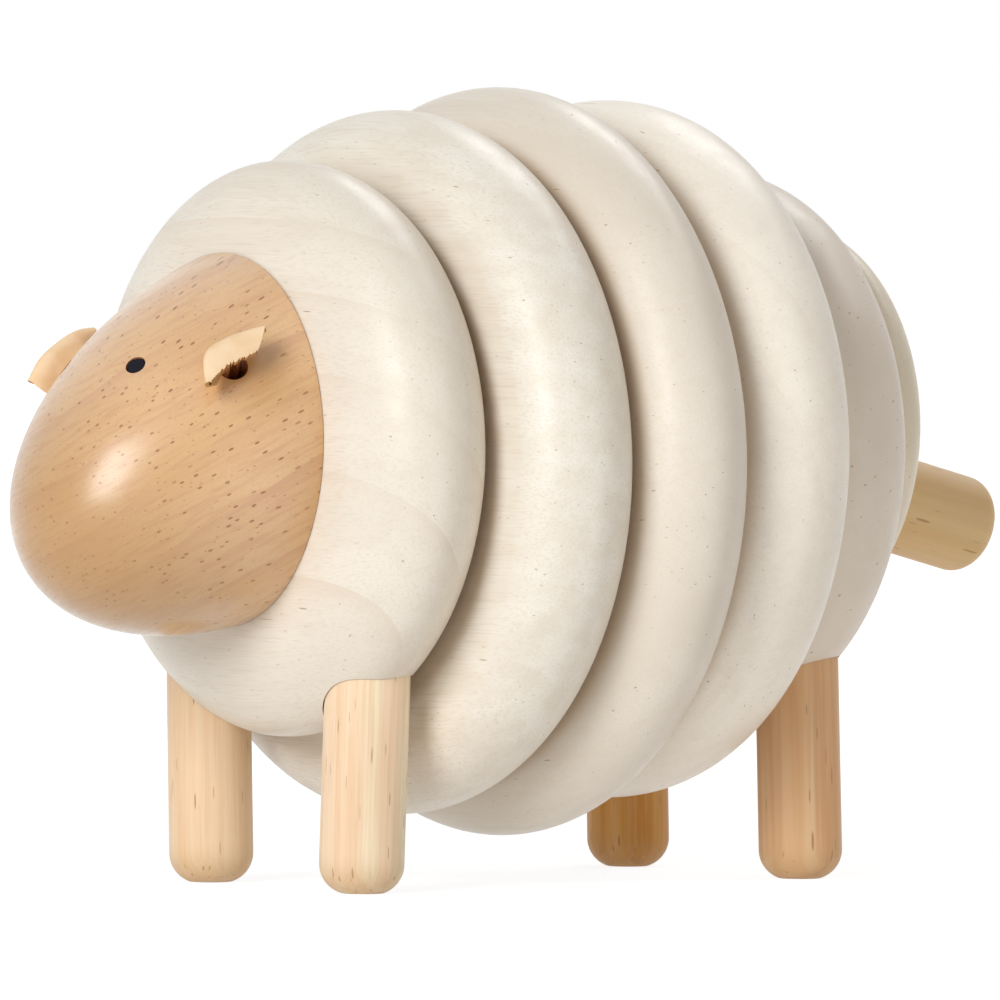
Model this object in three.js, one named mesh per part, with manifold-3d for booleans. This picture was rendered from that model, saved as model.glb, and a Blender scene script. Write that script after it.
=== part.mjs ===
// A wooden toy sheep. Six round-rimmed discs stand face to face on a hidden spine dowel and make
// the woolly body. An egg-shaped head is glued to the front disc, four dowel legs are driven into
// the front and the fifth disc, and a thick dowel tail hangs from the last one.
// The toy looks towards -Y, its left side is +X, and it stands on the plane Z = 0.
// All lengths are in millimetres and all angles in degrees.

import * as THREE from 'three';
import { mergeVertices } from 'three/addons/utils/BufferGeometryUtils.js';
import Module from 'manifold-3d';

const wasm = await Module();
wasm.setup();

// Body discs, from the chest to the rump. A rise is how far a disc's centre is above the spine.
// A rim is how deep the rounding goes in from the edge. The chest and the loin have their own
// rounding on each face, and a front share is how much of the thickness the front one takes.
const spineHeight = 67.0;
const chestRadius = 44.4;
const chestThickness = 22.6;
const chestRise = 0.7;
const chestFrontRim = 18.8;
const chestBackRim = 10.0;
const chestFrontShare = 0.52;
const shoulderRadius = 54.6;
const shoulderThickness = 19.8;
const shoulderRise = -1.6;
const shoulderRim = 9.1;
const middleRadius = 58.4;
const middleThickness = 19.8;
const middleRise = -1.6;
const middleRim = 11.3;
const loinRadius = 54.8;
const loinThickness = 20.9;
const loinRise = 0.2;
const loinFrontRim = 10.2;
const loinBackRim = 5.9;
const loinFrontShare = 0.55;
const hipRadius = 43.9;
const hipThickness = 20.4;
const hipRise = 0.5;
const hipRim = 7.2;
const rumpRadius = 32.2;
const rumpThickness = 12.0;
const rumpRise = 3.8;
const rumpRim = 9.0;

// Head, an egg cut off flat at the back, leaning nose down
const headRadius = 27.2;
const headNoseLength = 47.1;
const headBackLength = 33.0;
const headLean = 27.65;
const headCentreInset = 8.0;
const headCentreRise = 4.7;

// Eyes, dark pegs pressed in just below the surface
const eyeDiameter = 3.0;
const eyeLength = 2.6;
const eyeRecess = 0.15;
const eyeForwardShare = 0.483;
const eyeTurn = 21.9;

// Ears, leather leaves with a curled tongue in a drilled hole, folded over it like a hood
const earHoleDiameter = 4.6;
const earHoleDepth = 7.0;
const earThickness = 1.1;
const earStandOff = 1.0;
const earRise = 4.8;
const earReach = 2.4;
const earHalfLength = 7.0;
const earForwardShare = 0.287;
const earTurn = 49.0;

// Legs
const legDiameter = 13.1;
const legSocketDepth = 14.0;
const footRounding = 4.7;
const footSanding = 0.2;
const frontFootSpread = 19.7;
const frontFootSetBack = 1.0;
const frontLegToeIn = 2.3;
const frontLegLean = 0.4;
const rearFootSpread = 22.3;
const rearFootSetBack = 2.6;
const rearLegToeIn = -0.3;
const rearLegLean = -1.5;

// Tail
const tailDiameter = 15.5;
const tailLength = 33.8;
const tailSocketDepth = 7.0;
const tailDroop = 14.1;
const tailDrop = 8.6;
const tailRounding = 3.4;

// Hidden dowels
const spineDiameter = 16.0;
const spineInChest = 10.0;
const spineInRump = 2.0;
const neckDiameter = 10.0;
const neckInHead = 12.0;
const neckInChest = 10.0;

// Clearances: between glued faces, round a dowel, at the bottom of a hole, and round the ear
const glueLine = 0.1;
const dowelGap = 0.2;
const endGap = 0.3;
const eyeGap = 0.1;
const earGap = 0.3;
const overrun = 5.0;

// Fineness of the round forms, in steps
const discSides = 48;
const rimSteps = 5;
const headSides = 40;
const headSteps = 18;
const dowelSides = 24;
const roundingSteps = 4;
const earPathSteps = 20;
const earAcrossSteps = 8;
const earTongueLines = 3;
const earLinePlaces = 5;

const finishes = {
  whitewash: { color: 0xf0e6d2, roughness: 0.55, metalness: 0 },
  headWood: { color: 0xdcaf7c, roughness: 0.45, metalness: 0 },
  legWood: { color: 0xe8c894, roughness: 0.6, metalness: 0 },
  leather: { color: 0xf3d9ab, roughness: 0.85, metalness: 0 },
  eyeBlack: { color: 0x16141f, roughness: 0.35, metalness: 0 },
  innerWood: { color: 0xd9bd8c, roughness: 0.7, metalness: 0 },
};

const radians = THREE.MathUtils.degToRad;

// Turns a closed three.js geometry into a solid that can be cut and joined.
function solidOf(geometry) {
  const bare = new THREE.BufferGeometry();
  bare.setAttribute('position', geometry.getAttribute('position'));
  bare.setIndex(geometry.index);
  const merged = mergeVertices(bare);
  const index = merged.index.array;
  const corners = [];
  for (let i = 0; i < index.length; i += 3) {
    const [a, b, c] = [index[i], index[i + 1], index[i + 2]];
    if (a !== b && b !== c && c !== a) corners.push(a, b, c);
  }
  const vertProperties = new Float32Array(merged.getAttribute('position').array);
  return new wasm.Manifold(new wasm.Mesh({ numProp: 3, vertProperties, triVerts: new Uint32Array(corners) }));
}

function geometryOf(solid) {
  const mesh = solid.getMesh();
  const geometry = new THREE.BufferGeometry();
  geometry.setAttribute('position', new THREE.BufferAttribute(mesh.vertProperties, 3));
  geometry.setIndex(new THREE.BufferAttribute(mesh.triVerts, 1));
  geometry.computeVertexNormals();
  return geometry;
}

// Cuts holes in a piece. The piece's shape is in its own frame, its placement and the cutters'
// placements are in the toy's frame.
function cutPiece(geometry, placement, cutters) {
  const toPiece = placement.clone().invert();
  let solid = solidOf(geometry);
  for (const cutter of cutters) {
    const shape = cutter.shape.clone().applyMatrix4(cutter.placement).applyMatrix4(toPiece);
    solid = solid.subtract(solidOf(shape));
  }
  return geometryOf(solid);
}

const sheep = new THREE.Group();

function addPiece(name, geometry, finish, placement) {
  const mesh = new THREE.Mesh(geometry, new THREE.MeshStandardMaterial(finishes[finish]));
  mesh.name = name;
  mesh.applyMatrix4(placement);
  sheep.add(mesh);
}

const at = (x, y, z) => new THREE.Matrix4().makeTranslation(x, y, z);

// A frame whose Y axis runs along a direction and whose Z axis leans towards a second one.
function frameAlong(origin, alongY, towardsZ) {
  const y = alongY.clone().normalize();
  const x = new THREE.Vector3().crossVectors(y, towardsZ).normalize();
  const z = new THREE.Vector3().crossVectors(x, y);
  return new THREE.Matrix4().makeBasis(x, y, z).setPosition(origin);
}

// A cylinder from one place on the Y axis to another.
function cylinderBetween(radius, low, high) {
  return new THREE.CylinderGeometry(radius, radius, high - low, dowelSides).translate(0, (low + high) / 2, 0);
}

// A dowel along Y from low to high, whose high end has a rounded edge.
function roundedDowel(radius, low, high, rounding) {
  const edge = Math.min(rounding, radius);
  const profile = [new THREE.Vector2(0, low), new THREE.Vector2(radius, low)];
  for (let i = 0; i <= roundingSteps; i++) {
    const turn = (i / roundingSteps) * (Math.PI / 2);
    const away = radius - edge + edge * Math.cos(turn);
    profile.push(new THREE.Vector2(away, high - edge + edge * Math.sin(turn)));
  }
  profile.push(new THREE.Vector2(0, high));
  return new THREE.LatheGeometry(profile, dowelSides);
}

function evenDisc(name, radius, thickness, rise, rim) {
  return { name, radius, thickness, rise, frontRim: rim, backRim: rim, frontShare: 1 / 2 };
}

const chest = {
  name: 'chest_disc',
  radius: chestRadius,
  thickness: chestThickness,
  rise: chestRise,
  frontRim: chestFrontRim,
  backRim: chestBackRim,
  frontShare: chestFrontShare,
};
const loin = {
  name: 'loin_disc',
  radius: loinRadius,
  thickness: loinThickness,
  rise: loinRise,
  frontRim: loinFrontRim,
  backRim: loinBackRim,
  frontShare: loinFrontShare,
};
const shoulder = evenDisc('shoulder_disc', shoulderRadius, shoulderThickness, shoulderRise, shoulderRim);
const middle = evenDisc('middle_disc', middleRadius, middleThickness, middleRise, middleRim);
const hip = evenDisc('hip_disc', hipRadius, hipThickness, hipRise, hipRim);
const rump = evenDisc('rump_disc', rumpRadius, rumpThickness, rumpRise, rumpRim);
const discs = [chest, shoulder, middle, loin, hip, rump];

// The planes between the discs, counted backward from the chest's flat front.
let plane = 0;
for (const disc of discs) {
  disc.front = plane + glueLine / 2;
  disc.back = plane + disc.thickness - glueLine / 2;
  disc.mid = plane + disc.thickness / 2;
  disc.height = spineHeight + disc.rise;
  plane += disc.thickness;
}

// Spine dowel: it starts inside the chest, passes through the middle discs and seats in the rump.
const spineFront = chest.back - spineInChest;
const spineBack = rump.front + spineInRump;
const spineBore = {
  shape: cylinderBetween(spineDiameter / 2 + dowelGap, spineFront - endGap, spineBack + endGap),
  placement: at(0, 0, spineHeight),
};
const spine = cylinderBetween(spineDiameter / 2, spineFront, spineBack);
addPiece('spine_dowel', spine, 'innerWood', at(0, 0, spineHeight));

// Neck dowel, between the chest and the head
const neckBore = {
  shape: cylinderBetween(neckDiameter / 2 + dowelGap, -neckInHead - endGap, neckInChest + endGap),
  placement: at(0, 0, spineHeight),
};
const neck = cylinderBetween(neckDiameter / 2, -neckInHead, neckInChest);
addPiece('neck_dowel', neck, 'innerWood', at(0, 0, spineHeight));

// Legs. Each is a dowel with a rounded foot, sanded level where it stands. A leg's own Y axis
// runs from its top down to its foot.
function makeLeg(name, disc, side, spread, setBack, toeIn, lean) {
  const foot = new THREE.Vector3(side * spread, disc.mid + setBack, 0);
  const upward = new THREE.Vector3(side * Math.tan(radians(toeIn)), Math.tan(radians(lean)), 1).normalize();
  const rimHeight = disc.height - Math.sqrt(Math.max(disc.radius ** 2 - foot.x ** 2, 0));
  const topReach = (rimHeight + legSocketDepth) / upward.z;
  const placement = frameAlong(foot, upward.negate(), new THREE.Vector3(0, 1, 0));
  const dowel = roundedDowel(legDiameter / 2, -topReach, footSanding, footRounding);
  const floor = {
    shape: new THREE.BoxGeometry(legDiameter * 2, legDiameter * 2, overrun),
    placement: at(foot.x, foot.y, -overrun / 2),
  };
  addPiece(name, cutPiece(dowel, placement, [floor]), 'legWood', placement);
  return { shape: cylinderBetween(legDiameter / 2 + dowelGap, -topReach - endGap, 0), placement };
}

const frontLegSockets = [];
const rearLegSockets = [];
for (const [sideName, side] of [['left', 1], ['right', -1]]) {
  frontLegSockets.push(makeLeg(`leg_front_${sideName}`, chest, side, frontFootSpread, frontFootSetBack,
    frontLegToeIn, frontLegLean));
  rearLegSockets.push(makeLeg(`leg_rear_${sideName}`, hip, side, rearFootSpread, rearFootSetBack,
    rearLegToeIn, rearLegLean));
}

// Tail, a dowel that points back and down. Its own Y axis runs out of the rump.
const tailWay = new THREE.Vector3(0, Math.cos(radians(tailDroop)), -Math.sin(radians(tailDroop)));
const tailRoot = new THREE.Vector3(0, rump.back, rump.height - tailDrop);
const tailPlacement = frameAlong(tailRoot, tailWay, new THREE.Vector3(0, 0, 1));
const tailSocket = {
  shape: cylinderBetween(tailDiameter / 2 + dowelGap, -tailSocketDepth - endGap, overrun),
  placement: tailPlacement,
};
const tail = roundedDowel(tailDiameter / 2, -tailSocketDepth, tailLength, tailRounding);
addPiece('tail', tail, 'legWood', tailPlacement);

// A disc is turned about its own Y axis: a flat front, a rim rounded by two quarter ellipses that
// meet at the widest place, and a flat back.
function discGeometry(disc) {
  const thickness = disc.back - disc.front;
  const frontReach = thickness * disc.frontShare;
  const backReach = thickness - frontReach;
  const profile = [new THREE.Vector2(0, 0)];
  for (let i = 0; i <= rimSteps; i++) {
    const turn = (i / rimSteps) * (Math.PI / 2);
    const away = disc.radius - disc.frontRim * (1 - Math.sin(turn));
    profile.push(new THREE.Vector2(away, frontReach * (1 - Math.cos(turn))));
  }
  for (let i = rimSteps - 1; i >= 0; i--) {
    const turn = (i / rimSteps) * (Math.PI / 2);
    const away = disc.radius - disc.backRim * (1 - Math.sin(turn));
    profile.push(new THREE.Vector2(away, thickness - backReach * (1 - Math.cos(turn))));
  }
  profile.push(new THREE.Vector2(0, thickness));
  return new THREE.LatheGeometry(profile, discSides);
}

const discHoles = new Map(discs.map((disc) => [disc, [spineBore]]));
discHoles.get(chest).push(neckBore, ...frontLegSockets);
discHoles.get(hip).push(...rearLegSockets);
discHoles.get(rump).push(tailSocket);
for (const disc of discs) {
  const placement = at(0, disc.front, disc.height);
  addPiece(disc.name, cutPiece(discGeometry(disc), placement, discHoles.get(disc)), 'whitewash', placement);
}

// Head. The egg is turned about its own Y axis, which points to the nose, and its back is sawn
// off in the plane where it is glued to the chest.
const headCentre = new THREE.Vector3(0, headCentreInset, spineHeight + headCentreRise);
const noseWay = new THREE.Vector3(0, -Math.cos(radians(headLean)), -Math.sin(radians(headLean)));
const headPlacement = frameAlong(headCentre, noseWay, new THREE.Vector3(0, 0, 1));

function eggGeometry() {
  const profile = [];
  for (let i = 0; i <= headSteps; i++) {
    const turn = (i / headSteps - 1 / 2) * Math.PI;
    const reach = turn < 0 ? headBackLength : headNoseLength;
    profile.push(new THREE.Vector2(headRadius * Math.cos(turn), reach * Math.sin(turn)));
  }
  profile[0].x = 0;
  profile[headSteps].x = 0;
  return new THREE.LatheGeometry(profile, headSides);
}

// A frame on the head's surface: Z points out of the head, X backward along it and Y towards its
// top. turn is measured round the egg from its top, and side is 1 for the left and -1 for the
// right, where X points forward instead so that the frame stays right-handed. The egg's own X
// axis points to the toy's right, because its Y axis points to the nose.
function headFrame(forwardShare, turn, side) {
  const girthShare = Math.sqrt(1 - forwardShare ** 2);
  const around = -side * radians(turn);
  const outward = new THREE.Vector3(Math.sin(around), 0, Math.cos(around));
  const place = outward.clone().multiplyScalar(headRadius * girthShare).setY(headNoseLength * forwardShare);
  const out = outward.clone().multiplyScalar(girthShare / headRadius).setY(forwardShare / headNoseLength);
  out.normalize();
  const back = new THREE.Vector3(0, -1, 0).addScaledVector(out, out.y).normalize();
  const along = back.multiplyScalar(side);
  const upward = new THREE.Vector3().crossVectors(out, along);
  const frame = new THREE.Matrix4().makeBasis(along, upward, out).setPosition(place);
  return headPlacement.clone().multiply(frame);
}

// A cylinder drilled straight into the head at such a frame, from a depth to past the surface.
function drilled(radius, depth, above, frame) {
  const shape = cylinderBetween(radius, -depth, above).rotateX(Math.PI / 2);
  return { shape, placement: frame };
}

// An ear is one leather leaf. Its tongue is curled to a half pipe in the hole and stands a little
// out of it. From there the leaf spreads, rises as a wall towards the top of the head and folds
// over the hole like a hood. The lines of places run across the leaf from its front to its back,
// and the last one is the free edge. A place is given as shares of the half length backward, of
// the reach towards the top of the head and of the rise out of it.
const earRootRadius = earHoleDiameter / 2 - earGap - earThickness / 2;
const earLeafShares = [
  [[-0.79, -0.73, 0.31], [-0.4, 0.4, 0.4], [0.03, 0.7, 0.4], [0.33, 0.5, 0.44], [0.58, 0.17, 0.49]],
  [[-1.02, -0.62, 0.64], [-0.57, 0.79, 0.76], [0.03, 0.98, 0.74], [0.47, 0.62, 0.74], [0.85, 0.15, 0.75]],
  [[-1.06, -0.5, 0.91], [-0.6, 0.75, 0.95], [0.0, 0.83, 0.93], [0.46, 0.5, 0.9], [0.87, 0.08, 0.86]],
  [[-1.03, -0.62, 0.97], [-0.6, 0.04, 1.01], [-0.07, 0.0, 1.0], [0.33, -0.25, 0.97], [0.62, -0.46, 0.92]],
  [[-0.98, -0.72, 0.97], [-0.65, -0.58, 1.0], [-0.28, -0.67, 0.98], [0.03, -0.83, 0.97], [0.32, -1.0, 0.93]],
];

const earLines = [];
for (let i = 0; i < earTongueLines; i++) {
  const height = THREE.MathUtils.lerp(endGap - earHoleDepth, earStandOff, i / (earTongueLines - 1));
  const places = [];
  for (let j = 0; j < earLinePlaces; j++) {
    const turn = (j / (earLinePlaces - 1) - 1 / 2) * Math.PI;
    places.push(new THREE.Vector3(earRootRadius * Math.sin(turn), earRootRadius * Math.cos(turn), height));
  }
  earLines.push(places);
}
for (const line of earLeafShares) {
  earLines.push(line.map(([backShare, topShare, outShare]) =>
    new THREE.Vector3(earHalfLength * backShare, earReach * topShare, earRise * outShare)));
}
const earCurves = earLines.map((places) => new THREE.CatmullRomCurve3(places, false, 'catmullrom'));

// A place on the leaf's middle surface: share runs from the root to the free edge, across from the
// front to the back.
function earPoint(share, across) {
  const places = earCurves.map((curve) => curve.getPoint(across));
  return new THREE.CatmullRomCurve3(places, false, 'catmullrom').getPoint(share);
}

function earGeometry(side) {
  const step = 1e-3;
  const rows = earPathSteps + 1;
  const columns = earAcrossSteps + 1;
  const positions = [];
  for (const face of [1, -1]) {
    for (let i = 0; i < rows; i++) {
      for (let j = 0; j < columns; j++) {
        const share = i / earPathSteps;
        const across = j / earAcrossSteps;
        const place = earPoint(share, across);
        const along = earPoint(Math.min(share + step, 1), across);
        along.sub(earPoint(Math.max(share - step, 0), across));
        const sideways = earPoint(share, Math.min(across + step, 1));
        sideways.sub(earPoint(share, Math.max(across - step, 0)));
        const out = along.cross(sideways).normalize();
        place.addScaledVector(out, (face * earThickness) / 2);
        positions.push(side * place.x, place.y, place.z);
      }
    }
  }
  const corners = [];
  function quad(a, b, c, d) {
    const order = side > 0 ? [a, b, c, a, c, d] : [a, c, b, a, d, c];
    corners.push(...order);
  }
  const layer = rows * columns;
  for (let i = 0; i < earPathSteps; i++) {
    for (let j = 0; j < earAcrossSteps; j++) {
      const a = i * columns + j;
      quad(a, a + columns, a + columns + 1, a + 1);
      quad(layer + a, layer + a + 1, layer + a + columns + 1, layer + a + columns);
    }
    const left = i * columns;
    const right = left + earAcrossSteps;
    quad(left, layer + left, layer + left + columns, left + columns);
    quad(right, right + columns, layer + right + columns, layer + right);
  }
  for (let j = 0; j < earAcrossSteps; j++) {
    const root = j;
    const tip = earPathSteps * columns + j;
    quad(root, root + 1, layer + root + 1, layer + root);
    quad(tip, layer + tip, layer + tip + 1, tip + 1);
  }
  const geometry = new THREE.BufferGeometry();
  geometry.setAttribute('position', new THREE.BufferAttribute(new Float32Array(positions), 3));
  geometry.setIndex(corners);
  geometry.computeVertexNormals();
  return geometry;
}

const headBlock = {
  shape: new THREE.BoxGeometry(headRadius * 4, headBackLength * 2, headRadius * 4),
  placement: at(0, headBackLength - glueLine / 2, spineHeight),
};
const headHoles = [headBlock, neckBore];
for (const [sideName, side] of [['left', 1], ['right', -1]]) {
  const eyeFrame = headFrame(eyeForwardShare, eyeTurn, side);
  headHoles.push(drilled(eyeDiameter / 2 + eyeGap, eyeRecess + eyeLength + endGap, overrun, eyeFrame));
  const eye = cylinderBetween(eyeDiameter / 2, -eyeRecess - eyeLength, -eyeRecess).rotateX(Math.PI / 2);
  addPiece(`eye_${sideName}`, eye, 'eyeBlack', eyeFrame);
  const earFrame = headFrame(earForwardShare, earTurn, side);
  headHoles.push(drilled(earHoleDiameter / 2, earHoleDepth, overrun, earFrame));
  addPiece(`ear_${sideName}`, earGeometry(side), 'leather', earFrame);
}
addPiece('head', cutPiece(eggGeometry(), headPlacement, headHoles), 'headWood', headPlacement);

// The origin lies on the ground below the middle of the toy's length.
const extent = new THREE.Box3().setFromObject(sheep, true);
sheep.position.y = -(extent.min.y + extent.max.y) / 2;
const toy = new THREE.Group();
toy.add(sheep);

export default toy;
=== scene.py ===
# %% [markdown]
# # A wooden toy sheep
# The toy is made of six turned discs, an egg-shaped head, four legs, a tail, two leather ears, two
# eye pegs and two hidden dowels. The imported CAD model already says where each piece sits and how
# big it is, so this lesson only remodels the pieces that show, finely enough for a close look, and
# finishes them: washed white wood, natural wood, leather and black stain.
#
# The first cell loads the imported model. Everything in it is in metres, so the sizes below are
# written in millimetres and multiplied by `mm`.

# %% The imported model
import math
import random

import bmesh
import bpy
from mathutils import Matrix, Vector


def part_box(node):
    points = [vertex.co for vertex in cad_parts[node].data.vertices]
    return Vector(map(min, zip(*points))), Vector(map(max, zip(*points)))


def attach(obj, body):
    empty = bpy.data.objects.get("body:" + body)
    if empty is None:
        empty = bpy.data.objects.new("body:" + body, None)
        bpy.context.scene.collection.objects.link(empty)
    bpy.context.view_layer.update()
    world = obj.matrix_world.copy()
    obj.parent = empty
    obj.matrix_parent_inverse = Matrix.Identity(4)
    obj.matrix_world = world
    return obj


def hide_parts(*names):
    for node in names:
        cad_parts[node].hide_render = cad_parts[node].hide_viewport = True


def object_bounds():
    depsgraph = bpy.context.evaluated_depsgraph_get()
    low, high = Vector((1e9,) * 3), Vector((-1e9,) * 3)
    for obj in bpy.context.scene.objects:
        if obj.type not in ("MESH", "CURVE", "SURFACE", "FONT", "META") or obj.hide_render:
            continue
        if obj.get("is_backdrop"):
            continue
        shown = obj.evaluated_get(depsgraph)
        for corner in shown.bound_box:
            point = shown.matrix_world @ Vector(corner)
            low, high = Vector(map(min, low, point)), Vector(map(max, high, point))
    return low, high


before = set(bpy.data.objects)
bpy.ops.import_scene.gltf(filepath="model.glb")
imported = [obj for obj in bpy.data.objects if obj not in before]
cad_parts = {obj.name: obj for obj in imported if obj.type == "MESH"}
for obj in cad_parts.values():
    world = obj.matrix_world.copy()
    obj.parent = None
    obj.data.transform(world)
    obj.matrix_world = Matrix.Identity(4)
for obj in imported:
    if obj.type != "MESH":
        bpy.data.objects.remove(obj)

mm = 0.001
cad_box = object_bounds()
print("packed pieces:", ", ".join(sorted(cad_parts)))

# %% [markdown]
# ## Camera
# The photo was taken from the sheep's left, a little in front, almost level with its middle and
# with a long lens. A long lens far away keeps the legs parallel, so the camera stands 1.8 m off.
# `to_track_quat` turns a direction into a rotation, and a small roll levels the feet. Blender takes
# the lens and the sensor in millimetres.

# %% Camera
camera_azimuth = math.radians(53.25)
camera_elevation = math.radians(1.15)
camera_roll = math.radians(0.19)
camera_distance = 1809.8 * mm
camera_target = Vector((0, -3.583, 59.345)) * mm
sensor_width = 36
lens_length = 416.98
sight_limit = 100


def direction(azimuth, elevation):
    """A direction seen from the toy: azimuth 0 is straight ahead of its nose."""
    level = math.cos(elevation)
    return Vector((math.sin(azimuth) * level, -math.cos(azimuth) * level, math.sin(elevation)))


def placement(origin, rotation):
    return Matrix.Translation(origin) @ rotation.to_4x4()


def new_object(name, data):
    made = bpy.data.objects.new(name, data)
    bpy.context.collection.objects.link(made)
    return made


camera_data = bpy.data.cameras.new("photo_camera")
camera_data.sensor_width = sensor_width
camera_data.lens = lens_length
camera_data.clip_end = sight_limit
camera = new_object("photo_camera", camera_data)
camera_way = direction(camera_azimuth, camera_elevation)
camera_turn = camera_way.to_track_quat("Z", "Y").to_matrix() @ Matrix.Rotation(camera_roll, 3, "Z")
camera.matrix_world = placement(camera_target + camera_way * camera_distance, camera_turn)
bpy.context.scene.camera = camera
print("camera at", [round(value, 3) for value in camera.matrix_world.translation])

# %% [markdown]
# ## Node helpers
# A material is a tree of nodes. `add_node` makes one node, sets its options and fills its inputs,
# where an input may be a plain value or the output of another node. The helpers below it name the
# few small sums that the finishes need.

# %% Node helpers


def add_node(tree, kind, inputs=None, **options):
    """Adds a node; inputs are given by name or number, options by name."""
    node = tree.nodes.new(kind)
    for option, value in options.items():
        setattr(node, option, value)
    for key, value in (inputs or {}).items():
        if isinstance(value, bpy.types.NodeSocket):
            tree.links.new(value, node.inputs[key])
        else:
            node.inputs[key].default_value = value
    return node


def calculate(tree, operation, first, second=0.0, third=0.0):
    inputs = {0: first, 1: second, 2: third}
    return add_node(tree, "ShaderNodeMath", inputs, operation=operation).outputs[0]


def fade(tree, value, low, high, low_result=0.0, high_result=1.0):
    """A smooth step from one result to another as the value goes from low to high."""
    inputs = {"Value": value, "From Min": low, "From Max": high}
    inputs.update({"To Min": low_result, "To Max": high_result})
    node = add_node(tree, "ShaderNodeMapRange", inputs, interpolation_type="SMOOTHSTEP")
    return node.outputs["Result"]


def blend_colours(tree, share, first, second, way="MIX"):
    """A Mix node takes its two colours at inputs 6 and 7 and gives their blend at output 2."""
    inputs = {0: share, 6: first, 7: second}
    return add_node(tree, "ShaderNodeMix", inputs, data_type="RGBA", blend_type=way).outputs[2]


def new_material(name):
    """A material with an empty tree and the two nodes that every finish ends in."""
    material = bpy.data.materials.new(name)
    material.use_nodes = True
    tree = material.node_tree
    tree.nodes.clear()
    shader = tree.nodes.new("ShaderNodeBsdfPrincipled")
    output = tree.nodes.new("ShaderNodeOutputMaterial")
    tree.links.new(shader.outputs["BSDF"], output.inputs["Surface"])
    return material, tree, shader


print("node helpers ready")

# %% [markdown]
# ## Studio: floor, surroundings and lamps
# The toy stands on a white table in front of a white wall. The camera has to see plain white,
# but lamps strong enough for that would burn out the pale wood. So the floor and the world are
# white only for the rays that the camera and mirrors send (the Light Path node tells them apart),
# while all other rays meet a softer white that only brightens the toy. The floor's own glow grows
# with the distance from the toy, so the table fades into the wall but keeps the toy's shadow.

# %% Floor and surroundings
shadow_glow = 0.88
shadow_reach = (0.12, 0.5)
floor_paper = (0.24, 0.24, 0.24, 1)
floor_bounce = (0.8, 0.8, 0.79, 1)
table_glow = 0.19
room_glow = 0.24
white = (1, 1, 1, 1)
floor_half_size = 30


def seen_directly(tree):
    """1 for rays of the camera, of mirrors and through glass, and 0 for all others."""
    rays = tree.nodes.new("ShaderNodeLightPath")
    seen = calculate(tree, "MAXIMUM", rays.outputs["Is Camera Ray"], rays.outputs["Is Glossy Ray"])
    return calculate(tree, "MAXIMUM", seen, rays.outputs["Is Transmission Ray"])


def glow_for(tree, seen_glow, other_glow):
    """One strength for rays that see the surface directly and another for the rest."""
    difference = calculate(tree, "SUBTRACT", seen_glow, other_glow)
    return calculate(tree, "MULTIPLY_ADD", seen_directly(tree), difference, other_glow)


def mesh_from(name, bm):
    """Takes a shape off the workbench and keeps it as a mesh."""
    mesh = bpy.data.meshes.new(name)
    bm.to_mesh(mesh)
    bm.free()
    return mesh


floor_material, tree, paper = new_material("studio_paper")
colour = blend_colours(tree, seen_directly(tree), floor_bounce, floor_paper)
tree.links.new(colour, paper.inputs["Base Color"])
paper.inputs["Roughness"].default_value = 1.0
paper.inputs["Specular IOR Level"].default_value = 0.0
paper.inputs["Emission Color"].default_value = white
floor_place = tree.nodes.new("ShaderNodeTexCoord").outputs["Object"]
from_toy = add_node(tree, "ShaderNodeVectorMath", {0: floor_place}, operation="LENGTH").outputs["Value"]
floor_glow = fade(tree, from_toy, *shadow_reach, shadow_glow, 1.0)
tree.links.new(glow_for(tree, floor_glow, table_glow), paper.inputs["Emission Strength"])

bm = bmesh.new()
bmesh.ops.create_grid(bm, x_segments=1, y_segments=1, size=floor_half_size)
floor = new_object("studio_floor", mesh_from("studio_floor", bm))
floor.data.materials.append(floor_material)
floor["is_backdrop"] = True

world = bpy.data.worlds.new("studio_room")
world.use_nodes = True
bpy.context.scene.world = world
tree = world.node_tree
tree.links.new(glow_for(tree, 1.0, room_glow), tree.nodes["Background"].inputs["Strength"])
tree.nodes["Background"].inputs["Color"].default_value = white
bpy.context.scene.view_settings.view_transform = "Standard"
print("floor and room are white for the camera")

# %% [markdown]
# Five soft lamps light the toy. The two strongest stand close together, ahead of the sheep and to
# the camera's left: they light the fronts and let the far side of each rim fall into shade. Only
# one of them is reflected, which leaves the shine on the forehead and the soft ridge along each
# disc; the other adds light without adding shine. A weak lamp to the camera's right, not reflected
# either, keeps the backs of the rims and the rear from going grey. Two lamps hang high behind: a
# weak one draws satin streaks on top of the rims, the other lightens their far side.

# %% Lamps
lamp_distance = 2.2
# Azimuth and elevation in degrees, width and height in metres, watts, and whether it is reflected
lamps = {
    "shine_softbox": (21, 20, 0.8, 1.1, 17, True),
    "front_softbox": (24, 23, 1.0, 1.0, 14, False),
    "fill_softbox": (95, 10, 1.2, 1.0, 4, False),
    "back_softbox": (168, 48, 1.0, 0.5, 4, True),
    "side_softbox": (-150, 50, 1.0, 1.0, 12, True),
}


def softbox(name, azimuth, elevation, width, height, power, reflected):
    """A rectangular lamp that looks at the middle of the toy."""
    lamp = bpy.data.lights.new(name, "AREA")
    lamp.shape = "RECTANGLE"
    lamp.size = width
    lamp.size_y = height
    lamp.energy = power
    way = direction(math.radians(azimuth), math.radians(elevation))
    lamp_object = new_object(name, lamp)
    lamp_object.matrix_world = placement(
        camera_target + way * lamp_distance, way.to_track_quat("Z", "Y").to_matrix())
    lamp_object.visible_glossy = reflected
    print(name, "at", azimuth, "and", elevation, "degrees,", power, "W")


for name, setting in lamps.items():
    softbox(name, *setting)

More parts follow.
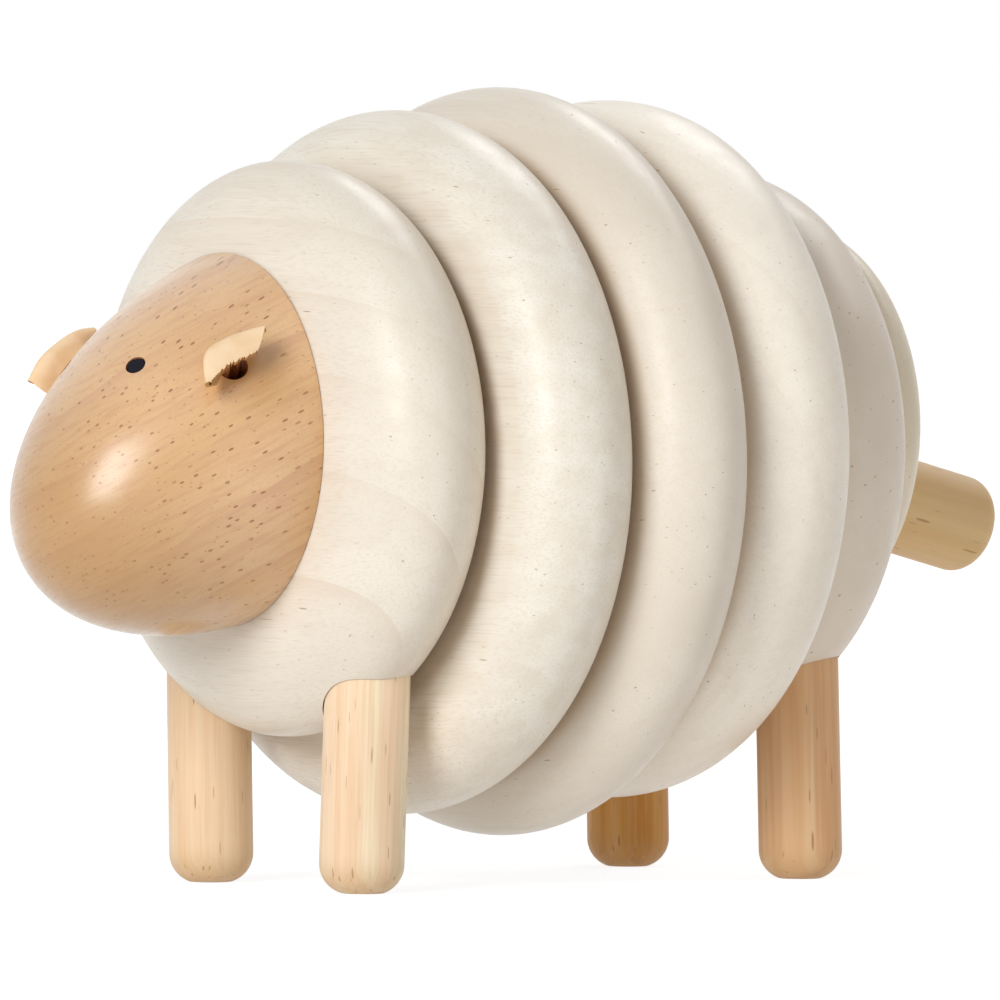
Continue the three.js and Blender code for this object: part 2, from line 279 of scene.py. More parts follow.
# %% [markdown]
# ## Wood
# Every piece of wood shares one recipe with its own settings. The pattern lives in a block of
# wood, not on the surface: a Mapping node lays the block's Z axis along the grain and its X axis
# across the growth layers, and measures both in millimetres. So a cut across the grain shows dots
# and a cut along it shows lines, as in a real piece.
#
# Stretched noise makes the broad clouds, the bands and the fibres. Growth layers are a wave round
# a pith that lies outside the piece. Pores are the cells of a Voronoi texture stretched along the
# grain and a little along the layers: only some cells hold one, and the surface cuts each at
# another height, so no two look the same. A seed moves each pattern to a fresh part of the block.

# %% Wood block and its patterns
wave_scale = 2 * math.pi / 20  # the wave texture then repeats once per step of its coordinates
seed_step = Vector((37.1, 17.3, 91.7))
layer_stretch = 6
pore_widening = 1.6
pore_core = 0.6  # the share of a pore's size where its edge starts to fade
full_pores = 0.4  # the share of the pores that have their full strength


def along_grain(tree, centre, grain, across):
    """Object coordinates in millimetres from the centre, Z along the grain, X across the layers."""
    z_axis = Vector(grain).normalized()
    y_axis = z_axis.cross(Vector(across)).normalized()
    axes = Matrix((y_axis.cross(z_axis), y_axis, z_axis)).transposed()
    inputs = {
        "Vector": tree.nodes.new("ShaderNodeTexCoord").outputs["Object"],
        "Location": centre,
        "Rotation": axes.to_euler(),
        "Scale": (mm, mm, mm),
    }
    return add_node(tree, "ShaderNodeMapping", inputs, vector_type="TEXTURE").outputs[0]


def stretched(tree, block, across, along, seed, widened=1.0):
    """The block in steps of one size across the grain, perhaps widened that way, and one along it."""
    inputs = {0: block, 1: (1 / across, 1 / (across * widened), 1 / along), 2: seed_step * seed}
    return add_node(tree, "ShaderNodeVectorMath", inputs, operation="MULTIPLY_ADD").outputs[0]


def grain_noise(tree, block, across, along, seed, detail=1.0, widened=1.0):
    place = stretched(tree, block, across, along, seed, widened)
    inputs = {"Vector": place, "Scale": 1.0, "Detail": detail}
    return add_node(tree, "ShaderNodeTexNoise", inputs).outputs[0]


def pores(tree, block, across, along, size, share, seed):
    """1 inside a pore and 0 elsewhere; share is how many of the cells hold one."""
    place = stretched(tree, block, across, along, seed, pore_widening)
    cells = add_node(tree, "ShaderNodeTexVoronoi", {"Vector": place, "Scale": 1.0})
    inside = fade(tree, cells.outputs["Distance"], size * pore_core, size, 1.0, 0.0)
    picks = add_node(tree, "ShaderNodeSeparateColor", {0: cells.outputs["Color"]})
    picked = fade(tree, picks.outputs[0], 1 - share, 1 - share * full_pores)
    return calculate(tree, "MULTIPLY", inside, picked)


def growth_layers(tree, block, pith_distance, gap, waviness):
    """A saw-toothed wave from 0 to 1 across the growth layers, which curve round a far-off pith."""
    moved = add_node(tree, "ShaderNodeVectorMath", {0: block, 1: (pith_distance, 0, 0)})
    inputs = {
        "Vector": stretched(tree, moved.outputs[0], gap, gap * layer_stretch, 0),
        "Scale": wave_scale,
        "Distortion": waviness,
        "Detail": 1.5,
        "Detail Scale": 0.8,
    }
    options = {"wave_type": "RINGS", "rings_direction": "Z", "wave_profile": "SAW"}
    return add_node(tree, "ShaderNodeTexWave", inputs, **options).outputs["Fac"]


print("wood patterns ready")

# %% [markdown]
# The recipe lays one mark after the other over the wood's colour, each with its own strength. A
# look is the list of a piece's settings: colours, sizes in millimetres across and along the grain,
# and strengths. For pores the size goes on with how much of its cell a pore fills and the share of
# the cells that hold one; for layers it is the distance of the pith, the gap between layers and
# their waviness. A coat stands for wax or varnish: it is a little glossier than the wood, so that
# the grain still breaks up the shine below it.

# %% Wood recipe
# Between which values of its noise each mark goes from nothing to its full strength
soft_range = (0.3, 0.7)
band_range = (0.42, 0.72)
fibre_range = (0.45, 0.75)
layer_range = (0.3, 1.0)
late_wood_range = (0.8, 1.0)
late_wood_share = 0.6
line_fading = (0.65, 0.35, 0.3)
roughness_spread = 0.05
relief_depth = 0.05 * mm
relief_strength = 0.35
wood_ior = 1.45
coat_ior = 1.65
coat_gloss = 0.08


def tint(tree, colour, share, strength, mark):
    """Lays a mark's colour over the wood where the share is high."""
    return blend_colours(tree, calculate(tree, "MULTIPLY", share, strength), colour, mark)


def wood(name, centre, grain, across, look):
    """A finished piece of wood; each of its patterns has a fresh seed."""
    material, tree, shader = new_material(name)
    block = along_grain(tree, centre, grain, across)
    seed, rough = look["seed"], look["roughness"]
    clouds = grain_noise(tree, block, *look["cloud_size"], seed)
    bands = grain_noise(tree, block, *look["band_size"], seed + 0.1, detail=2.0, widened=look["band_spread"])
    fibres = grain_noise(tree, block, *look["fibre_size"], seed + 0.2, detail=2.0)
    layers = growth_layers(tree, block, *look["layers"])
    large = pores(tree, block, *look["large_pores"], seed + 0.3)
    small = pores(tree, block, *look["small_pores"], seed + 0.4)

    colour = blend_colours(tree, fade(tree, clouds, *soft_range), look["pale"], look["deep"])
    early_wood = fade(tree, layers, *layer_range, 0.0, 1 - late_wood_share)
    late_wood = fade(tree, layers, *late_wood_range)
    lines = calculate(tree, "MULTIPLY_ADD", late_wood, late_wood_share, early_wood)
    uneven_lines = calculate(tree, "MULTIPLY", lines, fade(tree, clouds, *line_fading))
    marks = (
        ("layer", uneven_lines, "layer"),
        ("band", fade(tree, bands, *band_range), "band"),
        ("fibre", fade(tree, fibres, *fibre_range), "fibre"),
        ("large", large, "pore"),
        ("small", small, "pore"),
    )
    for kind, share, mark in marks:
        colour = tint(tree, colour, share, look[kind + "_strength"], look[mark])
    tree.links.new(colour, shader.inputs["Base Color"])

    roughness = fade(tree, bands, *soft_range, rough - roughness_spread, rough + roughness_spread)
    tree.links.new(roughness, shader.inputs["Roughness"])
    height = calculate(tree, "MULTIPLY_ADD", large, -1.0, fibres)
    inputs = {"Height": height, "Strength": relief_strength, "Distance": relief_depth}
    tree.links.new(add_node(tree, "ShaderNodeBump", inputs).outputs[0], shader.inputs["Normal"])
    shader.inputs["IOR"].default_value = wood_ior
    shader.inputs["Coat Weight"].default_value = look["coat"]
    shader.inputs["Coat Roughness"].default_value = rough - coat_gloss
    shader.inputs["Coat IOR"].default_value = coat_ior
    return material


print("wood recipe ready")

# %% [markdown]
# Some tones follow the piece and not the grain: a foot is darker and browner near the ground, the head is
# darker under the chin, painted warm shade darkens the cheek and the grooves, and a painted shadow lies
# behind each ear. Such a tone is laid over the finished wood by where a point lies on the piece, along a
# direction or round a centre.

# %% Tones laid over a finish


def lay_over(tree, share, tone):
    """Puts a tone between a finish and its shader, where the share is high."""
    base = tree.nodes["Principled BSDF"].inputs["Base Color"]
    tree.links.new(blend_colours(tree, share, base.links[0].from_socket, tone), base)


def place_from(tree, centre):
    """Where a point of the piece lies, seen from a centre."""
    place = tree.nodes.new("ShaderNodeTexCoord").outputs["Object"]
    return add_node(tree, "ShaderNodeVectorMath", {0: place, 1: centre}, operation="SUBTRACT").outputs[0]


def darken_towards(material, centre, way, start, end, strength, tan):
    """Darkens a finish along a direction, between two distances in millimetres from the centre."""
    tree = material.node_tree
    inputs = {0: place_from(tree, centre), 1: Vector(way).normalized()}
    along = add_node(tree, "ShaderNodeVectorMath", inputs, operation="DOT_PRODUCT").outputs["Value"]
    lay_over(tree, fade(tree, along, start * mm, end * mm, 0.0, strength), tan)


# Used for the painted shadow behind each ear
def darken_around(material, centre, reach, strength, tan):
    """Darkens a finish in a soft round patch."""
    tree = material.node_tree
    inputs = {0: place_from(tree, centre)}
    gap = add_node(tree, "ShaderNodeVectorMath", inputs, operation="LENGTH").outputs["Value"]
    lay_over(tree, fade(tree, gap, 0, reach, strength, 0.0), tan)


print("tones ready")

# %% [markdown]
# ## Making pieces
# A bmesh is Blender's workbench for shapes. `saw` cuts a piece flat. `drill` cuts round holes
# with exact Booleans: each leg and dowel sits in a socket with a fifth of a millimetre of room
# all round, and that thin gap is the seam one sees in the photo.

# %% Making pieces
turned_sides = 192
rim_steps = 28
dowel_sides = 96
dowel_gap = 0.2 * mm
end_gap = 0.3 * mm
crisp_angle = 35
bore_slack = 0.01 * mm
level_slack = 0.0001 * mm


def shade_smooth(mesh, crisp=crisp_angle):
    """Shades a mesh smooth, but keeps corners crisp that are sharper than an angle in degrees."""
    mesh.shade_smooth()
    mesh.set_sharp_from_angle(angle=math.radians(crisp))


def add_piece(name, bm, materials, stands_for, crisp=crisp_angle):
    piece = new_object(name, mesh_from(name, bm))
    for material in materials:
        piece.data.materials.append(material)
    shade_smooth(piece.data, crisp)
    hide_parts(stands_for)
    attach(piece, "root")
    return piece


def rod(radius, low, high, matrix, sides=dowel_sides):
    """A plain cylinder along the Z axis of a placement, as a bmesh."""
    bm = bmesh.new()
    bmesh.ops.create_cone(
        bm, cap_ends=True, segments=sides, radius1=radius, radius2=radius, depth=high - low)
    bmesh.ops.translate(bm, verts=bm.verts, vec=(0, 0, (low + high) / 2))
    bmesh.ops.transform(bm, matrix=matrix, verts=bm.verts)
    return bm


def is_in_bore(place, bore):
    radius, low, high, matrix = bore
    inside = matrix.inverted() @ place
    return inside.xy.length < radius + bore_slack and low - bore_slack < inside.z < high + bore_slack


def drill(piece, bores, bore_finish):
    """Cuts rods out of a piece and finishes their walls; a bore is (radius, low, high, placement)."""
    cutters = []
    for bore in bores:
        cutter = new_object("drill_bit", mesh_from("drill_bit", rod(*bore)))
        cut = piece.modifiers.new("drill", "BOOLEAN")
        cut.operation = "DIFFERENCE"
        cut.solver = "EXACT"
        cut.object = cutter
        cutters.append(cutter)
    whole = piece.data
    finished = piece.evaluated_get(bpy.context.evaluated_depsgraph_get())
    piece.data = bpy.data.meshes.new_from_object(finished)
    piece.modifiers.clear()
    piece.data.name = piece.name
    shade_smooth(piece.data)
    bpy.data.meshes.remove(whole)
    for cutter in cutters:
        bpy.data.meshes.remove(cutter.data)
    piece.data.materials.append(bore_finish)
    for face in piece.data.polygons:
        corners = [piece.data.vertices[i].co for i in face.vertices]
        if any(all(is_in_bore(corner, bore) for corner in corners) for bore in bores):
            face.material_index = 1


def round_rim(bm, level, reach, segments):
    """Rounds the edge loop of a cylinder at one height with a quarter circle."""
    loop = [
        edge for edge in bm.edges
        if all(abs(vert.co.z - level) < level_slack for vert in edge.verts)]
    bmesh.ops.bevel(
        bm, geom=loop, offset=reach, offset_type="OFFSET", affect="EDGES", segments=segments,
        profile=0.5, material=-1, clamp_overlap=False)


def saw(bm, place, way):
    """Cuts off what lies beyond a plane and closes the cut; returns the edge of the cut."""
    geometry = bm.verts[:] + bm.edges[:] + bm.faces[:]
    cut = bmesh.ops.bisect_plane(bm, geom=geometry, plane_co=place, plane_no=way, clear_outer=True)
    saw_edge = [part for part in cut["geom_cut"] if isinstance(part, bmesh.types.BMEdge)]
    bmesh.ops.edgeloop_fill(bm, edges=saw_edge)
    return saw_edge


print("workbench ready")

# %% [markdown]
# ## Body discs
# On the lathe each disc gets a flat face and a rim rounded like half an ellipse. Its section is
# half a circle: the front quarter and the back quarter are scaled to the depth and the reach of
# their own rounding and pushed out to the rim, and a straight line runs from each end to the
# axis. A spin round the axis then does what the lathe does, and `remove_doubles` closes the poles.
#
# The radius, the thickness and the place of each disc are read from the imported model. Given here
# is only how far the rounding reaches in from the rim, in front and behind, and which share of the
# thickness lies in front of the widest girth.

# %% Sizes of the discs
on_axis_slack = 1e-6
merge_distance = 0.001 * mm
spine_height = (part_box("spine_dowel")[0].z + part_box("spine_dowel")[1].z) / 2
spine_radius = 8.0 * mm
neck_radius = 5.0 * mm
disc_rims = {
    "chest_disc": (18.8, 10.0, 0.52),
    "shoulder_disc": (9.1, 9.1, 0.5),
    "middle_disc": (11.3, 11.3, 0.5),
    "loin_disc": (10.2, 5.9, 0.55),
    "hip_disc": (7.2, 7.2, 0.5),
    "rump_disc": (9.0, 9.0, 0.5),
}


def disc_place(name):
    """The radius, thickness and front middle of a disc."""
    low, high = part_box(name)
    return (high.z - low.z) / 2, high.y - low.y, Vector((0, low.y, (low.z + high.z) / 2))


def turned_disc(name):
    radius, thickness, front = disc_place(name)
    front_rim, back_rim, front_share = disc_rims[name]
    bm = bmesh.new()
    bmesh.ops.create_circle(bm, segments=rim_steps * 4, radius=1)
    inner_half = [vert for vert in bm.verts if vert.co.x < -on_axis_slack]
    bmesh.ops.delete(bm, geom=inner_half, context="VERTS")
    ends = [vert for vert in bm.verts if abs(vert.co.x) < on_axis_slack]
    front_half = [vert for vert in bm.verts if vert.co.y < -on_axis_slack]
    back_half = [vert for vert in bm.verts if vert not in front_half]
    front_reach = thickness * front_share
    back_reach = thickness - front_reach
    for half, rim, reach in ((front_half, front_rim, front_reach), (back_half, back_rim, back_reach)):
        bmesh.ops.scale(bm, verts=half, vec=(rim * mm, reach, 1))
        bmesh.ops.translate(bm, verts=half, vec=(radius - rim * mm, 0, 0))
    on_axis = bmesh.ops.extrude_vert_indiv(bm, verts=ends)["verts"]
    bmesh.ops.scale(bm, verts=on_axis, vec=(0, 1, 1))
    bmesh.ops.spin(
        bm, geom=bm.verts[:] + bm.edges[:], cent=(0, 0, 0), axis=(0, 1, 0), dvec=(0, 0, 0),
        angle=2 * math.pi, steps=turned_sides, use_merge=True, use_duplicate=False)
    bmesh.ops.remove_doubles(bm, verts=bm.verts, dist=merge_distance)
    bmesh.ops.recalc_face_normals(bm, faces=bm.faces)
    bmesh.ops.translate(bm, verts=bm.verts, vec=front + Vector((0, front_reach, 0)))
    return bm


print("spine at", round(spine_height / mm, 2), "mm")

# %% [markdown]
# ## White wash
# The discs are a pale wood under a thin white wash that lets the wood show through. The grain
# runs level across each disc. The chest carries fine brown hairlines, the shoulder faint cloudy
# stains, the loin is the whitest, the hip is greyer with dark pores, and the rump is the yellowest.
# So each disc has its own seed, its own tones and its own way that the growth layers lie.

# %% White wash
across_disc = (1, 0, 0)
whitewash = {
    "pale": (0.86, 0.79, 0.685, 1),
    "deep": (0.82, 0.75, 0.645, 1),
    "cloud_size": (14, 50),
    "band": (0.74, 0.64, 0.52, 1),
    "layer": (0.7, 0.56, 0.42, 1),
    "fibre": (0.72, 0.64, 0.52, 1),
    "pore": (0.42, 0.28, 0.17, 1),
    "layers": (90, 11, 2.5),
    "layer_strength": 0.1,
    "band_size": (2.4, 45),
    "band_spread": 1.0,
    "band_strength": 0.25,
    "fibre_size": (0.3, 9),
    "fibre_strength": 0.55,
    "large_pores": (1.5, 36, 0.08, 0.75),
    "large_strength": 0.85,
    "small_pores": (0.9, 3.5, 0.16, 0.35),
    "small_strength": 0.3,
    "roughness": 0.4,
    "coat": 0.13,
}
disc_looks = {
    "chest_disc": {"seed": 1, "across": (0, 0.6, 0.8), "layer_strength": 0.4},
    "shoulder_disc": {
        "seed": 2, "across": (0, 0.3, 0.95), "cloud_size": (5, 14),
        "pale": (0.885, 0.83, 0.735, 1), "deep": (0.835, 0.765, 0.655, 1)},
    "middle_disc": {
        "seed": 3, "across": (0, -0.5, 0.85),
        "pale": (0.81, 0.735, 0.635, 1), "deep": (0.76, 0.68, 0.575, 1)},
    "loin_disc": {
        "seed": 4, "across": (0, 0.9, 0.4), "band_strength": 0.12, "fibre_strength": 0.25,
        "pale": (0.98, 0.905, 0.79, 1), "deep": (0.93, 0.85, 0.74, 1)},
    "hip_disc": {
        "seed": 5, "across": (0, 0.5, -0.8), "large_pores": (1.3, 5, 0.15, 0.8), "large_strength": 0.8,
        "pale": (0.8, 0.7, 0.595, 1), "deep": (0.74, 0.64, 0.535, 1)},
    "rump_disc": {
        "seed": 6, "across": (0, 0.8, 0.5),
        "pale": (0.87, 0.76, 0.59, 1), "deep": (0.81, 0.7, 0.53, 1)},
}
print("looks of", len(disc_looks), "discs")

# %% [markdown]
# ## Leg and tail sizes
# The legs are driven into the chest and the hip disc and the tail into the rump, so their
# sockets have to be known before the discs are drilled. A leg leans a little: its foot is placed
# first, then the way from the foot up into the disc.

# %% Leg and tail sizes
leg_radius = 6.55 * mm
leg_socket = 14.0 * mm
# The disc, how far the foot stands to the side and behind the disc's middle, its toe-in and its lean
leg_stands = {
    "leg_front": ("chest_disc", 19.7 * mm, 1.0 * mm, math.radians(2.3), math.radians(0.4)),
    "leg_rear": ("hip_disc", 22.3 * mm, 2.6 * mm, math.radians(-0.3), math.radians(-1.5)),
}
tail_radius = 7.75 * mm
tail_length = 33.8 * mm
tail_socket = 7.0 * mm
tail_droop = math.radians(14.1)
tail_drop = 8.6 * mm
beyond = 5.0 * mm  # how far outside the surface a bore starts
sides = {"left": 1, "right": -1}


def axes_along(way, origin):
    """A placement whose Z axis runs along a direction."""
    return placement(origin, way.to_track_quat("Z", "Y").to_matrix())


def leg_place(kind, side):
    """A placement at the foot that looks up the leg, and the leg's whole length."""
    disc, spread, set_back, toe_in, lean = leg_stands[kind]
    radius, thickness, front = disc_place(disc)
    foot = Vector((side * spread, front.y + thickness / 2 + set_back, 0))
    way = Vector((side * math.tan(toe_in), math.tan(lean), 1)).normalized()
    rim_height = front.z - math.sqrt(radius ** 2 - foot.x ** 2)
    return axes_along(way, foot), (rim_height + leg_socket) / way.z


def tail_place():
    _, thickness, front = disc_place("rump_disc")
    root = front + Vector((0, thickness, -tail_drop))
    return axes_along(Vector((0, math.cos(tail_droop), -math.sin(tail_droop))), root)


def leg_bores(kind):
    bores = []
    for side in sides.values():
        place, length = leg_place(kind, side)
        bores.append((leg_radius + dowel_gap, 0, length + end_gap, place))
    return bores


spine_low, spine_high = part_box("spine_dowel")
neck_low, neck_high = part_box("neck_dowel")
backward = Vector((0, 1, 0))
on_spine = axes_along(backward, Vector((0, 0, spine_height)))
spine_bore = (spine_radius + dowel_gap, spine_low.y - end_gap, spine_high.y + end_gap, on_spine)
neck_bore = (neck_radius + dowel_gap, neck_low.y - end_gap, neck_high.y + end_gap, on_spine)
tail_bore = (tail_radius + dowel_gap, -tail_socket - end_gap, beyond, tail_place())
disc_bores = {
    "chest_disc": [spine_bore, neck_bore, *leg_bores("leg_front")],
    "hip_disc": [spine_bore, *leg_bores("leg_rear")],
    "rump_disc": [spine_bore, tail_bore],
}
print("front legs", round(leg_place("leg_front", 1)[1] / mm, 1), "mm long")

# %% [markdown]
# ## Grooves
# Where two rims meet, a warm brown painted shade stands for the shadow and the warm bounced light deep in
# the groove. A groove opens at the smaller of the two radii. The painted shade starts a little below that
# and is full at its bottom, so the distance from the spine says how strong it is, on the front and the back
# of a disc apart. The backs of the discs get a touch of it all over, as painted warm bounced light on their
# shaded side.

# %% Groove shade
# Painted shade: a warm brown laid into each groove for its shadow and the warm light bounced there
groove_painted_shade = (0.45, 0.3, 0.16, 1)
groove_strength = 0.5
# Painted warm bounced light: a share of the groove's warm brown laid over the whole back of each disc
painted_warm_bounce = 0.1
groove_start = 2.3 * mm
groove_end = 5.2 * mm
back_start_share = 0.4
back_full_share = 0.6


def groove_mouths(name):
    """The radius where the groove before and the one behind a disc open, 0 where there is none."""
    order = [""] + list(disc_rims) + [""]
    place = order.index(name)
    radius = disc_place(name)[0]
    neighbours = (order[place - 1], order[place + 1])
    return [min(radius, disc_place(neighbour)[0]) if neighbour else 0 for neighbour in neighbours]


def paint_groove_shade(material, name):
    """Paints warm shade into the wash towards the bottom of the grooves, and a touch of it over the back of
    the disc.
    """
    tree = material.node_tree
    _, thickness, front = disc_place(name)
    x, y, z = add_node(tree, "ShaderNodeSeparateXYZ", {0: place_from(tree, front)}).outputs
    squares = calculate(tree, "MULTIPLY_ADD", z, z, calculate(tree, "MULTIPLY", x, x))
    from_axis = calculate(tree, "SQRT", squares)
    shares = [
        fade(tree, from_axis, mouth - groove_end, mouth - groove_start, groove_strength, 0.0)
        for mouth in groove_mouths(name)]
    behind = fade(tree, y, thickness * back_start_share, thickness * back_full_share)
    share = add_node(tree, "ShaderNodeMix", {0: behind, 2: shares[0], 3: shares[1]}).outputs[0]
    lay_over(tree, calculate(tree, "MULTIPLY_ADD", behind, painted_warm_bounce, share), groove_painted_shade)


for name in disc_rims:
    print(name, "grooves open at", [round(mouth / mm, 1) for mouth in groove_mouths(name)], "mm")

# %% Six discs
drilled_look = {**whitewash, "seed": 9, "pale": (0.5, 0.3, 0.16, 1), "deep": (0.4, 0.22, 0.11, 1)}
drilled_finish = wood("drilled_wood", (0, 0, spine_height), across_disc, (0, 0, 1), drilled_look)
for name in disc_rims:
    look = {**whitewash, **disc_looks[name]}
    radius, _, front = disc_place(name)
    finish = wood(name + "_wash", front, across_disc, look["across"], look)
    paint_groove_shade(finish, name)
    disc = add_piece(name + "_turned", turned_disc(name), [finish], name)
    drill(disc, disc_bores.get(name, [spine_bore]), drilled_finish)
    print(name, "radius", round(radius / mm, 1), "mm,", len(disc.data.polygons), "faces")

# %% [markdown]
# ## Legs
# A leg is a dowel whose lower edge was rounded and then sanded level where it stands. The end of the rod is
# bevelled, and a cut at table height takes off the last fifth of a millimetre. The legs are bare wood
# without a coat. Those at the back are darker and browner, which is painted shade and warm bounced light
# from under the body. Each foot is darker and browner towards the ground.

# %% Leg finish
leg_wood = {
    "pale": (0.95, 0.83, 0.6, 1),
    "deep": (0.92, 0.67, 0.46, 1),
    "cloud_size": (4, 90),
    "band": (0.8, 0.5, 0.28, 1),
    "layer": (0.74, 0.47, 0.25, 1),
    "fibre": (0.66, 0.43, 0.22, 1),
    "pore": (0.4, 0.22, 0.08, 1),
    "layers": (30, 5, 3.0),
    "layer_strength": 0.2,
    "band_size": (1.7, 50),
    "band_spread": 1.0,
    "band_strength": 0.45,
    "fibre_size": (0.4, 14),
    "fibre_strength": 0.25,
    "large_pores": (1.1, 11, 0.17, 0.75),
    "large_strength": 0.75,
    "small_pores": (0.8, 9, 0.15, 0.6),
    "small_strength": 0.5,
    "roughness": 0.5,
    "coat": 0.0,
}
leg_looks = {
    "leg_front_left": {"seed": 11, "across": (1, 0.3, 0)},
    "leg_front_right": {
        "seed": 12, "across": (0.4, 1, 0),
        "pale": (0.9, 0.69, 0.47, 1), "deep": (0.86, 0.62, 0.39, 1)},
    # Painted shade: the rear legs' darker base tones stand for the shade and warm bounced light under the
    # body; their reddish bands and pores are the wood's own
    "leg_rear_left": {
        "seed": 13, "across": (0.7, -0.7, 0), "large_strength": 0.7,
        "pale": (0.79, 0.52, 0.29, 1), "deep": (0.7, 0.4, 0.19, 1),
        "band": (0.56, 0.26, 0.11, 1), "pore": (0.38, 0.16, 0.06, 1)},
    "leg_rear_right": {
        "seed": 14, "across": (1, 0.1, 0),
        "pale": (0.68, 0.33, 0.05, 1), "deep": (0.56, 0.23, 0.025, 1), "pore": (0.3, 0.1, 0.03, 1)},
}
foot_rounding = 4.7 * mm
foot_sanding = 0.2 * mm
foot_steps = 16
# The foot darkens towards the ground
foot_dark_tone = (0.52, 0.32, 0.14, 1)
foot_darkening_height = 7
foot_darkening_strength = 0.5
down = (0, 0, -1)
print("looks of", len(leg_looks), "legs")

# %% Four legs
for kind in leg_stands:
    for side_name, side in sides.items():
        name = f"{kind}_{side_name}"
        place, length = leg_place(kind, side)
        bm = rod(leg_radius, -foot_sanding, length, Matrix.Identity(4))
        round_rim(bm, -foot_sanding, foot_rounding, foot_steps)
        bmesh.ops.transform(bm, matrix=place, verts=bm.verts)
        saw(bm, (0, 0, 0), down)
        bmesh.ops.recalc_face_normals(bm, faces=bm.faces)
        look = {**leg_wood, **leg_looks[name]}
        finish = wood(name + "_wood", place.translation, place.to_3x3().col[2], look["across"], look)
        darken_towards(finish, (0, 0, 0), down, -foot_darkening_height, 0, foot_darkening_strength, foot_dark_tone)
        add_piece(name + "_turned", bm, [finish], name)
        print(name, "length", round(length / mm, 1), "mm")

# %% [markdown]
# ## Tail
# The tail is a thicker dowel with a rounded end, glued into the rump so that it droops a little.

# %% Tail
tail_rounding = 3.4 * mm
tail_steps = 14
bm = rod(tail_radius, -tail_socket, tail_length, Matrix.Identity(4))
round_rim(bm, tail_length, tail_rounding, tail_steps)
place = tail_place()
bmesh.ops.transform(bm, matrix=place, verts=bm.verts)
# The tail's darker, yellower tone is partly its own wood and partly painted shade, as it sits at the back,
# away from the lamps
tail_look = {**leg_wood, "seed": 21, "pale": (0.76, 0.53, 0.26, 1), "deep": (0.68, 0.44, 0.19, 1)}
finish = wood("tail_wood", place.translation, place.to_3x3().col[2], (1, 0, 0), tail_look)
tail = add_piece("tail_turned", bm, [finish], "tail")
print("tail:", len(tail.data.polygons), "faces")

# %% [markdown]
# ## Head
# The head is an egg: two half ellipsoids that meet at the widest girth, longer towards the nose,
# tipped nose down and sawn flat where it is glued to the chest. A sphere is scaled in its two
# halves, turned, cut with a plane and closed again.

# %% Head shape
head_radius = 27.2 * mm
head_nose_length = 47.1 * mm
head_back_length = 33.0 * mm
head_lean = math.radians(27.65)
head_centre_inset = 8.05 * mm
head_centre_rise = 4.7 * mm
head_rings = 96
saw_edge_rounding = 0.25 * mm
saw_edge_steps = 3
glue_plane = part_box("head")[1].y
head_centre = Vector((0, glue_plane + head_centre_inset, spine_height + head_centre_rise))
nose_way = Vector((0, -math.cos(head_lean), -math.sin(head_lean)))
head_side = nose_way.cross(Vector((0, 0, 1))).normalized()
head_axes = Matrix((head_side, nose_way, head_side.cross(nose_way))).transposed()
head_place = placement(head_centre, head_axes)

bm = bmesh.new()
bmesh.ops.create_uvsphere(bm, u_segments=turned_sides, v_segments=head_rings, radius=1)
bmesh.ops.rotate(bm, matrix=Matrix.Rotation(-math.pi / 2, 3, "X"), verts=bm.verts)
towards_nose = [vert for vert in bm.verts if vert.co.y > 0]
towards_back = [vert for vert in bm.verts if vert.co.y < 0]
bmesh.ops.scale(bm, verts=towards_nose, vec=(1, head_nose_length / head_radius, 1))
bmesh.ops.scale(bm, verts=towards_back, vec=(1, head_back_length / head_radius, 1))
bmesh.ops.scale(bm, verts=bm.verts, vec=(head_radius, head_radius, head_radius))
bmesh.ops.transform(bm, matrix=head_place, verts=bm.verts)
saw_edge = saw(bm, (0, glue_plane, 0), backward)
bmesh.ops.bevel(
    bm, geom=saw_edge, offset=saw_edge_rounding, offset_type="OFFSET", affect="EDGES",
    segments=saw_edge_steps, profile=0.5, material=-1, clamp_overlap=True)
bmesh.ops.recalc_face_normals(bm, faces=bm.faces)
print("head:", len(bm.faces), "faces")

# %% [markdown]
# The ears and the eyes sit on the egg's surface. `head_spot` works out a placement there from how
# far forward it is and how far round from the top: Z points out of the head, X backward and Y
# towards the top. The maker set the eyes by hand: the photo shows the left one only, so the right
# one must sit a little further round, just out of sight.

# %% Ear holes and eye recesses
ear_forward_share = 0.287
ear_turn = math.radians(49)
ear_hole_radius = 2.3 * mm
ear_hole_depth = 7.0 * mm
eye_forward_share = 0.483
eye_turns = {"left": math.radians(21.9), "right": math.radians(25.4)}
eye_radius = 1.5 * mm
eye_gap = 0.1 * mm
eye_recess = 0.15 * mm
eye_length = 2.6 * mm
eye_hole_depth = eye_recess + eye_length + end_gap


def head_spot(forward_share, turn, side):
    girth_share = math.sqrt(1 - forward_share ** 2)
    around = -side * turn
    outward = Vector((math.sin(around), 0, math.cos(around)))
    nose = Vector((0, 1, 0))
    place = outward * head_radius * girth_share + nose * head_nose_length * forward_share
    out = (outward * girth_share / head_radius + nose * forward_share / head_nose_length).normalized()
    along = (out * out.y - nose).normalized() * side
    axes = Matrix((along, out.cross(along), out)).transposed()
    return head_place @ placement(place, axes)


ear_spots = {name: head_spot(ear_forward_share, ear_turn, side) for name, side in sides.items()}
eye_spots = {name: head_spot(eye_forward_share, eye_turns[name], side) for name, side in sides.items()}
head_bores = [neck_bore]
head_bores += [(ear_hole_radius, -ear_hole_depth, beyond, spot) for spot in ear_spots.values()]
head_bores += [(eye_radius + eye_gap, -eye_hole_depth, beyond, spot) for spot in eye_spots.values()]
print("head gets", len(head_bores), "bores")

